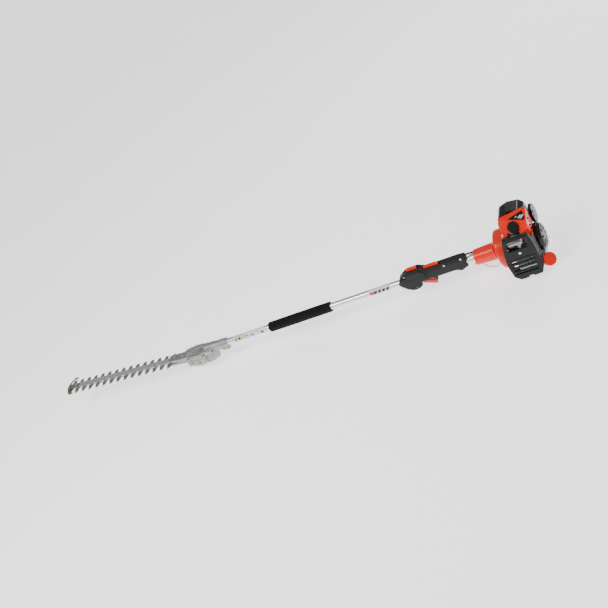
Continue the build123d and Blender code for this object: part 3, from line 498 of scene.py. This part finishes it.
# %% [markdown]
# ## The primer bulb
# The bulb under the carburettor is soft. Pressed by a thumb, it flattens against its seat rather than
# moving into the carburettor, so its copy stays on the machine, with a mesh of its own.

# %% Primer bulb
bulb = merged_copy("purge_bulb", "primer_dome")
dress(bulb, rubber, "chassis")
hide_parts("purge_bulb")
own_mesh(bulb)

# %% [markdown]
# ## Stickers on the tube
# Two thin films are wrapped round the tube: a white one with plain discs and bars near the gearcase, and a
# plain band with a red block and dark stripes near the handle. Both are drawn with arithmetic on the
# film's own map, where u runs along the tube and v round it, in metres. Nothing on them is lettering.

# %% Sticker artwork
TUBE_R = 12.7
FILM_UNDER, FILM_OVER = 0.02, 0.22


def film(name, x0, x1):
    """A closed film round the tube, mapped in metres along it and round it."""
    under, over = TUBE_R + FILM_UNDER, TUBE_R + FILM_OVER
    loop = [(x0, under), (x0, over), (x1, over), (x1, under)]
    obj = turned_mesh(name, [(x - HANGER_X, rad) for x, rad in loop], 64, True)
    layer = obj.data.uv_layers.new(name="film_map")
    for face in obj.data.polygons:
        angles = []
        for corner in face.loop_indices:
            spot = obj.data.vertices[obj.data.loops[corner].vertex_index].co
            angles.append((corner, spot.x - (x0 - HANGER_X) * MM, math.atan2(spot.z, -spot.y)))
        low = min(a for _, _, a in angles)
        for corner, u, a in angles:
            turn = a if a - low < math.pi else a - 2 * math.pi
            layer.data[corner].uv = (u, turn * TUBE_R * MM)
    return obj


def film_axes(finish):
    place = finish.node("ShaderNodeUVMap", {"uv_map": "film_map"})
    u = finish.node("ShaderNodeSeparateXYZ", {}, {0: place}, 0)
    v = finish.node("ShaderNodeSeparateXYZ", {}, {0: place}, 1)
    return u, v


def disc_mask(u, v, cu, cv, radius):
    return ((u - cu) ** 2.0 + (v - cv) ** 2.0) < radius ** 2


def bar_mask(u, v, cu, cv, half_u, half_v):
    return (abs(u - cu) < half_u) * (abs(v - cv) < half_v)


notice = Finish("notice_film")
u, v = film_axes(notice)
silver = notice.blend(notice.noise(0.01), rgba(0.72, 0.73, 0.74), rgba(0.62, 0.63, 0.64))
art = notice.blend((u > 0.050) * (u < 0.1425), silver, rgba(0.86, 0.87, 0.86))
for cu, cv, radius, colour in ((0.030, 0.004, 0.0085, rgba(0.85, 0.50, 0.01)),
                               (0.030, 0.004, 0.0050, rgba(0.02, 0.02, 0.02)),
                               (0.062, 0.003, 0.0080, rgba(0.015, 0.06, 0.36)),
                               (0.062, 0.003, 0.0045, rgba(0.84, 0.85, 0.86)),
                               (0.112, 0.003, 0.0105, rgba(0.88, 0.62, 0.02)),
                               (0.112, 0.003, 0.0060, rgba(0.86, 0.87, 0.86)),
                               (0.132, 0.001, 0.0070, rgba(0.02, 0.10, 0.45))):
    art = notice.blend(disc_mask(u, v, cu, cv, radius), art, colour)
for cu, cv, half_u, half_v, colour in ((0.087, 0.006, 0.009, 0.0016, rgba(0.02, 0.08, 0.40)),
                                       (0.087, 0.001, 0.009, 0.0016, rgba(0.02, 0.08, 0.40)),
                                       (0.087, -0.004, 0.006, 0.0016, rgba(0.02, 0.08, 0.40)),
                                       (0.045, 0.003, 0.0025, 0.008, rgba(0.55, 0.42, 0.03)),
                                       (0.014, 0.003, 0.0040, 0.005, rgba(0.10, 0.10, 0.10))):
    art = notice.blend(bar_mask(u, v, cu, cv, half_u, half_v), art, colour)
notice.set(Base_Color=art, Roughness=0.28 + 0.1 * notice.noise(0.004), Coat_Weight=0.3)
notice.bump(notice.noise(0.0015), 0.00002)

band = Finish("stripe_film")
u, v = film_axes(band)
art = band.blend(band.noise(0.01), rgba(0.80, 0.80, 0.81), rgba(0.70, 0.70, 0.71))
art = band.blend(bar_mask(u, v, 0.014, 0.004, 0.009, 0.0055), art, rgba(0.70, 0.03, 0.01))
for i in range(4):
    stripe = abs(u - 0.012 - 0.5 * (v - 0.004) - 0.016 * (i + 1)) < 0.0055
    art = band.blend(stripe * (abs(v - 0.004) < 0.006), art, rgba(0.012, 0.012, 0.012))
band.set(Base_Color=art, Roughness=0.26 + 0.1 * band.noise(0.004), Coat_Weight=0.3)
band.bump(band.noise(0.0015), 0.00002)

FILMS = (("notice_sticker", 31.0, 174.0, notice), ("stripe_band", 621.0, 709.0, band))
for name, x0, x1, finish in FILMS:
    dress(film(name, x0, x1), finish.material, "chassis")
    print(name, "from", x0, "to", x1)

# %% [markdown]
# ## Screws
# A screw head is a low dome with a star socket. It repeats all over the machine, so Geometry Nodes put
# one small head on every point of a list: the points are the seats, and the tree turns each copy to
# face out of its seat. The tree ends by making the copies real and giving them their metal.

# %% Tree that seats copies on points
def seat_tree():
    tree = bpy.data.node_groups.new("copies_on_seats", "GeometryNodeTree")
    for label, kind in (("Seats", "NodeSocketGeometry"), ("Copy", "NodeSocketObject"),
                        ("Turn", "NodeSocketRotation"), ("Size", "NodeSocketFloat"),
                        ("Metal", "NodeSocketMaterial")):
        tree.interface.new_socket(label, in_out="INPUT", socket_type=kind)
    tree.interface.new_socket("Pieces", in_out="OUTPUT", socket_type="NodeSocketGeometry")

    def add(kind, **links):
        node = tree.nodes.new(kind)
        for name, source in links.items():
            tree.links.new(source, node.inputs[name.replace("_", " ")])
        return node
    given = add("NodeGroupInput").outputs
    points = add("GeometryNodeMeshToPoints", Mesh=given["Seats"])
    copy = add("GeometryNodeObjectInfo", Object=given["Copy"])
    spread = add("GeometryNodeInstanceOnPoints", Points=points.outputs[0],
                 Instance=copy.outputs["Geometry"], Rotation=given["Turn"], Scale=given["Size"])
    real = add("GeometryNodeRealizeInstances", Geometry=spread.outputs[0])
    painted = add("GeometryNodeSetMaterial", Geometry=real.outputs[0], Material=given["Metal"])
    out = tree.nodes.new("NodeGroupOutput")
    tree.links.new(painted.outputs[0], out.inputs[0])
    return tree


SEATS = seat_tree()
SEAT_INPUT = {item.name: item.identifier for item in SEATS.interface.items_tree if item.in_out == "INPUT"}


def seated(name, points, copy, facing, size, metal):
    """Copies of a piece on points in metres, each turned so that its +X looks along facing."""
    mesh = bpy.data.meshes.new(name)
    mesh.from_pydata([tuple(p) for p in points], [], [])
    obj = placed(name, mesh)
    tool = obj.modifiers.new("seats", "NODES")
    tool.node_group = SEATS
    tool[SEAT_INPUT["Copy"]] = copy
    tool[SEAT_INPUT["Turn"]] = Vector((1, 0, 0)).rotation_difference(Vector(facing)).to_euler()
    tool[SEAT_INPUT["Size"]] = size
    tool[SEAT_INPUT["Metal"]] = metal
    return as_mesh(obj, name)


print("tree inputs:", SEAT_INPUT)

# %% [markdown]
# The head itself is turned on the lathe: a straight side, a rounded shoulder, a shallow dome, then a
# six-lobed socket that goes down inside. Its seat is at the origin and it looks along +X.

# %% Screw heads on their seats
HEAD_RIM = [(0.0, 4.4), (1.4, 4.4), (2.1, 4.0), (2.5, 3.2), (2.62, 2.1), (1.2, 1.95)]
screw_head = turned_mesh("screw_head_master", HEAD_RIM, 48, False, star=(4, 5))
TILT, APEX_X, HEAD_DROP = 4.0, -95.0, -14.66
APEX = Matrix.Translation(Vector((APEX_X - HANGER_X, 0, HEAD_DROP)))
CUTTER = APEX @ Matrix.Rotation(math.radians(TILT), 4, "Y")


def machine(x, y, z):
    return Vector((x - HANGER_X, y, z)) * MM


def cutter(u, v, w):
    return (CUTTER @ Vector((u, v, w))) * MM


DOWN = CUTTER.to_3x3() @ Vector((0, 0, -1))
case_seats = [cutter(u, v * s, -21.8) for u, v in ((26, 21), (-14, 34), (-82, 31)) for s in (-1, 1)]
handle_seats = [machine(x, -15.6, z) for x, z in ((776, 27), (988, 23.6), (798, -29), (925, 20.5))]
clamp_seats = [machine(x, -9.6, -22.5) for x in (-12, -30)]
COVER_FACE = (-0.361, -0.709, 0.606)
SCREWS = (
    ("case_screw_heads", case_seats, DOWN, 1.0),
    ("handle_screw_heads", handle_seats, (0, -1, 0), 0.95),
    ("clamp_screw_heads", clamp_seats, (0, -1, 0), 1.0),
    ("locating_screw_head", [machine(-24, 0, 19.4)], (0, 0, 1), 1.0),
    ("guard_screw_head", [machine(1212, -104.2, 36)], (0, -1, 0), 1.05),
    ("cover_screw_head", [machine(1162.6, -23.2, 63.8)], COVER_FACE, 1.05),
)
for name, points, facing, size in SCREWS:
    row = seated(name, points, screw_head, facing, size, zinc)
    dress(row, zinc, "chassis")
    print(name, len(points), "heads")
bpy.data.objects.remove(screw_head)
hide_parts("handle_screws")

# %% [markdown]
# ## Ribs laid on the shells
# The castings and mouldings carry raised lines: a rim that stiffens the gearcase, the frame round the
# guard's window, the contour that runs along the handle. Each rib is a path seen from one direction.
# Its points are dropped on to the shell along that direction, the heights are averaged so that the rib
# climbs steps softly, and a half-round section is swept along the result.

# %% Rib helper
SECTION = ((-0.5, -0.6), (-0.5, 0.3), (-0.32, 0.8), (0.0, 1.0), (0.32, 0.8), (0.5, 0.3), (0.5, -0.6))


def resampled(points, step):
    line = [points[0]]
    for one, two in zip(points, points[1:]):
        count = max(1, round((two - one).length / step))
        line += [one.lerp(two, (i + 1) / count) for i in range(count)]
    return line


def averaged(values, reach, closed):
    count = len(values)
    result = []
    for i in range(count):
        near = [i + k for k in range(-reach, reach + 1)]
        near = [k % count for k in near] if closed else [min(max(k, 0), count - 1) for k in near]
        result.append(sum((values[k] for k in near), values[0] * 0) / len(near))
    return result


def laid_rib(name, shell, path, fall, width, height, closed=False, ease=3):
    """A half-round rib; path and fall are in metres in the shell's frame, width and height in mm."""
    surface = BVHTree.FromObject(shell, bpy.context.evaluated_depsgraph_get())
    fall = Vector(fall).normalized()
    path = list(path) + ([path[0]] if closed else [])
    starts = resampled([Vector(p) for p in path], 1.5 * MM)
    starts = averaged(starts[:-1] if closed else starts, 2, closed)
    drops = []
    for start in starts:
        spot = surface.ray_cast(start, fall)[0]
        drops.append((spot - start).length if spot else (drops[-1] if drops else 0.0))
    drops = averaged(drops, ease, closed)
    line = [start + fall * drop for start, drop in zip(starts, drops)]
    rings = []
    for i, spot in enumerate(line):
        ahead = line[(i + 1) % len(line)] if closed else line[min(i + 1, len(line) - 1)]
        behind = line[i - 1] if closed else line[max(i - 1, 0)]
        side = (ahead - behind).cross(fall).normalized()
        rings.append([spot + (side * a * width - fall * b * height) * MM for a, b in SECTION])
    return skinned(name, rings, closed, 50)


print("rib helper ready")

# %% [markdown]
# The handle's contour sweeps from the nose under the switch, rises over the grip and runs out towards
# the back; a short collar crosses the grip near its rear end. The same lines are laid on both halves.

# %% Handle ribs
CONTOUR = ((757, 21), (768, 13), (789, 6), (814, 6), (834, 11), (852, 13), (876, 14), (898, 14.5), (918, 15))
COLLAR = ((976, 22), (973, 10), (965, -5), (962, -12))
POCKET = ((846, 27), (852, 21), (862, 19.5), (885, 20), (904, 21))
for side, shell in ((-1, shells["handle_left"]), (1, shells["handle_right"])):
    for label, points, width, height in (("contour", CONTOUR, 4.0, 0.9), ("collar", COLLAR, 3.0, 0.8),
                                         ("pocket", POCKET, 2.2, 0.7)):
        path = [machine(x, 30 * side, z) for x, z in points]
        name = "handle_%s_%s" % (label, "left" if side < 0 else "right")
        rib = laid_rib(name, shell, path, (0, -side, 0), width, height)
        dress(rib, grained, "chassis")
print("handle ribs laid")

# %% [markdown]
# On the gearcase a rim follows the outline, a long rib runs down the middle from the tube to the nose,
# and two shorter ones fan out from it over the crank gear's room.

# %% Gearcase ribs
RIM = ((-95, -22), (-60, -31), (-30, -31), (5, -21), (20, -14))
SPINE = ((-99, 2.5), (-80, 0), (-60, -1.5), (-35, -6), (-4, -17), (8, -16))
FAN = ((-92, -13), (-70, -10), (-48, -13), (-30, -18), (0, -19))
CASE_RIBS = [("spine", SPINE, 7.0, 3.0)]
for side, flip in (("near", 1), ("far", -1)):
    for label, line in (("rim", RIM), ("fan", FAN)):
        CASE_RIBS.append((label + "_" + side, [(u, flip * v) for u, v in line], 6.0, 2.4))
for label, points, width, height in CASE_RIBS:
    path = [cutter(u, v, 60) for u, v in points]
    rib = laid_rib("case_" + label, shells["gearcase_upper"], path, DOWN, width, height)
    dress(rib, casting, "chassis")
print("gearcase ribs laid:", len(CASE_RIBS))

# %% [markdown]
# The muffler guard has a raised frame round its window and broad bars between the slots, which keep
# hands away from the hot can.

# %% Guard ribs
WINDOW = ((1178.5, 87), (1256.5, 90), (1254.0, 47.5), (1173.5, 46.5))
path = [machine(x, -140, z) for x, z in WINDOW]
frame_rib = laid_rib("guard_window_frame", shells["muffler_guard"], path, (0, 1, 0), 4.2, 1.3, True, 1)
dress(frame_rib, satin, "chassis")
for i in range(4):
    z = 11 - 16.2 * i
    low, high = (1163 + (2 if i else 0), 1254 - 4 * i)
    path = [machine(x, -140, z) for x in (low, (low + high) / 2, high)]
    rib = laid_rib("guard_bar_%d" % (i + 1), shells["muffler_guard"], path, (0, 1, 0), 7.0, 1.6)
    dress(rib, satin, "chassis")
print("guard ribs laid")

# %% [markdown]
# ## The cover's badge panel
# The sloping roof of the engine cover carries a dark four-cornered panel with a pale mark. It is a thin
# plate that follows the roof's slope. Its mark is three plain slanted bars and nothing more.

# %% Badge panel
ROOF_UP = Vector((-0.115, -0.267, 0.957)).normalized()
corners = [Vector(c) for c in ((1194.7, -1.6, 103.8), (1253.0, -31.0, 102.4), (1256.5, -18.7, 106.5),
                               (1249.0, 8.3, 113.1))]
middle = sum(corners, Vector()) / len(corners)


def roof_plate(name, outline, low, high):
    """A flat plate between two heights above the roof, its upper rim drawn in a little."""
    centre = sum(outline, Vector()) / len(outline)
    rings = []
    for lift, share in ((low, 1.0), (high - 0.12, 1.0), (high, 0.985)):
        rings.append([machine(*(centre + (p - centre) * share + ROOF_UP * lift)) for p in outline])
    return skinned(name, rings)


dress(roof_plate("badge_panel", corners, -0.6, 0.5), glossy, "chassis")
white = moulded_finish("badge_white", rgba(0.80, 0.80, 0.80), rgba(0.70, 0.70, 0.71),
                       0.3, 0.05, 0.001, 0.00002)
along = (corners[1] - corners[0]).normalized()
rise = ROOF_UP.cross(along).normalized()
for i, (shift, half, tall) in enumerate(((-12.0, 1.6, 3.4), (1.0, 3.0, 6.2), (10.0, 3.0, 7.6))):
    centre = middle + along * shift + rise * (0.10 * shift - 0.5)
    bar = [centre + along * (half * a + 2.0 * b) + rise * (tall * b)
           for a, b in ((-1, -1), (1, -1), (1, 1), (-1, 1))]
    dress(roof_plate("badge_bar_%d" % (i + 1), bar, 0.4, 0.75), white, "chassis")
print("badge at", [round(c, 1) for c in middle])

# %% [markdown]
# ## Studio
# A pale floor lies under the machine, and the sky gives soft light from all round. The floor also gives
# off some light of its own, which keeps it pale without over-lighting the black and orange plastic.
# A large lamp high on the left makes the long highlights, a second fills the front, and a third picks
# out the edges from behind.

# %% Floor and lights
FLOOR_HALF = 8.0
floor_z = cad_box[0][2] - 0.0002
corners = [(sx * FLOOR_HALF, sy * FLOOR_HALF, floor_z) for sx, sy in ((-1, -1), (1, -1), (1, 1), (-1, 1))]
floor_mesh = bpy.data.meshes.new("floor")
floor_mesh.from_pydata(corners, [], [(0, 1, 2, 3)])
floor = placed("floor", floor_mesh)
paper = Finish("paper")
sheen = paper.blend(paper.noise(0.5), rgba(0.97, 0.97, 0.97), rgba(0.94, 0.94, 0.95))
paper.set(Base_Color=sheen, Roughness=0.9, Emission_Color=sheen, Emission_Strength=1.3)
floor_mesh.materials.append(paper.material)

world = bpy.data.worlds.new("studio")
bpy.context.scene.world = world
world.use_nodes = True
backdrop = world.node_tree.nodes["Background"]
backdrop.inputs["Color"].default_value = rgba(1.0, 1.0, 1.0)
backdrop.inputs["Strength"].default_value = 0.42


def lamp(name, place, target, size, power):
    light = bpy.data.lights.new(name, "AREA")
    light.size, light.energy = size, power
    obj = bpy.data.objects.new(name, light)
    look = Vector(target) - Vector(place)
    obj.matrix_world = Matrix.Translation(Vector(place)) @ look.to_track_quat("-Z", "Y").to_matrix().to_4x4()
    bpy.context.scene.collection.objects.link(obj)


lamp("key", (-1.2, -1.6, 2.6), (0.1, 0.0, 0.0), 1.3, 70.0)
lamp("fill", (2.2, -2.4, 1.4), (0.4, 0.0, 0.0), 1.0, 22.0)
lamp("rim", (1.0, 2.4, 1.8), (0.4, 0.0, 0.0), 0.9, 22.0)
print("floor at", round(floor_z, 4))
